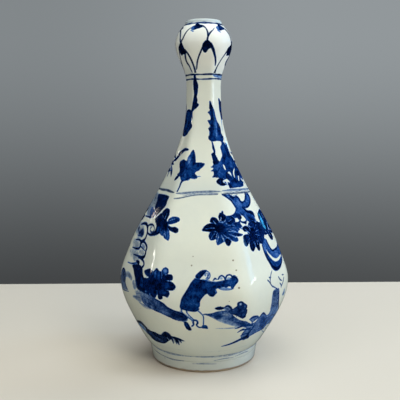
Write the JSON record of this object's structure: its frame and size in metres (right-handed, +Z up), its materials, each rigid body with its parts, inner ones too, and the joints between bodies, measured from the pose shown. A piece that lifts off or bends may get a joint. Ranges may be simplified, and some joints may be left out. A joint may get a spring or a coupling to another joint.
{
  "type": "garlic head vase",
  "caption": "Tall porcelain bottle vase with flat-sided pear body, slender faceted neck, garlic-bulb mouth and round foot ring, made to stand and hold stems.",
  "frame": {"origin": "centre of the foot rim on the table plane, below the middle of the vase", "axes": "+Z up the axis of the vase to its mouth; one flat side faces -Y, two corners lie on X"},
  "size_m": [0.142, 0.1304, 0.2776],
  "materials": {
    "glazed_porcelain": "clear gloss glaze, greyish white, over underglaze cobalt-blue painting",
    "foot_porcelain": "glazed outside, greenish grey where the glaze pools, with a bare fired rim",
    "slip_clay": "fired porcelain slip, matt"
  },
  "bodies": {
    "root": {"foot_ring": "foot_porcelain", "foot_slip": "slip_clay", "base_slab": "glazed_porcelain", "bowl_slip": "slip_clay", "lower_body": "glazed_porcelain", "belly_slip": "slip_clay", "upper_body": "glazed_porcelain", "shoulder_slip": "slip_clay", "neck": "glazed_porcelain", "collar_slip": "slip_clay", "garlic_bulb": "glazed_porcelain", "lip_slip": "slip_clay", "mouth_lip": "glazed_porcelain"}
  },
  "joints": []
}
